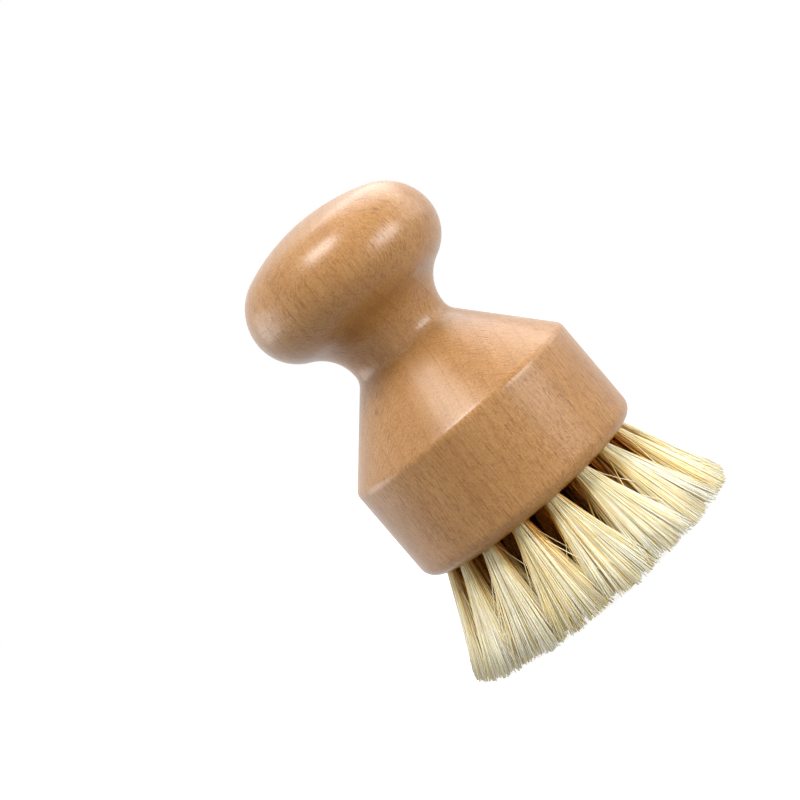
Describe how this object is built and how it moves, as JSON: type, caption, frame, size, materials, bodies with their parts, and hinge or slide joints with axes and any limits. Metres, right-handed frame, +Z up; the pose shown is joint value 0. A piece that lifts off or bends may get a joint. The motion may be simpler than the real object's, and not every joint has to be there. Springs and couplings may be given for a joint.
{
  "type": "palm brush",
  "caption": "Round palm brush for dishes and vegetables: a turned beech knob and head with splayed tufts of plant fibre in drilled holes.",
  "frame": {"origin": "on the flat plane of the bristle tips, under the middle of the brush", "axes": "+Z up the turning axis, from the bristle tips to the crown of the knob; -Y is the front"},
  "size_m": [0.0646, 0.0646, 0.0906],
  "materials": {
    "beech": "oiled to a satin sheen, over fine, straight beech grain",
    "plant_fibre": "cream to straw coloured stiff plant fibre",
    "anchor_wire": "flat galvanised wire"
  },
  "bodies": {
    "root": {"block": "beech", "anchors": "anchor_wire", "tuft_center_01": "plant_fibre", "tuft_inner_01": "plant_fibre", "tuft_inner_02": "plant_fibre", "tuft_inner_03": "plant_fibre", "tuft_inner_04": "plant_fibre", "tuft_inner_05": "plant_fibre", "tuft_inner_06": "plant_fibre", "tuft_middle_01": "plant_fibre", "tuft_middle_02": "plant_fibre", "tuft_middle_03": "plant_fibre", "tuft_middle_04": "plant_fibre", "tuft_middle_05": "plant_fibre", "tuft_middle_06": "plant_fibre", "tuft_middle_07": "plant_fibre", "tuft_middle_08": "plant_fibre", "tuft_middle_09": "plant_fibre", "tuft_middle_10": "plant_fibre", "tuft_middle_11": "plant_fibre", "tuft_outer_01": "plant_fibre", "tuft_outer_02": "plant_fibre", "tuft_outer_03": "plant_fibre", "tuft_outer_04": "plant_fibre", "tuft_outer_05": "plant_fibre", "tuft_outer_06": "plant_fibre", "tuft_outer_07": "plant_fibre", "tuft_outer_08": "plant_fibre", "tuft_outer_09": "plant_fibre", "tuft_outer_10": "plant_fibre", "tuft_outer_11": "plant_fibre", "tuft_outer_12": "plant_fibre", "tuft_outer_13": "plant_fibre", "tuft_outer_14": "plant_fibre", "tuft_outer_15": "plant_fibre", "tuft_outer_16": "plant_fibre", "tuft_outer_17": "plant_fibre"}
  },
  "joints": []
}
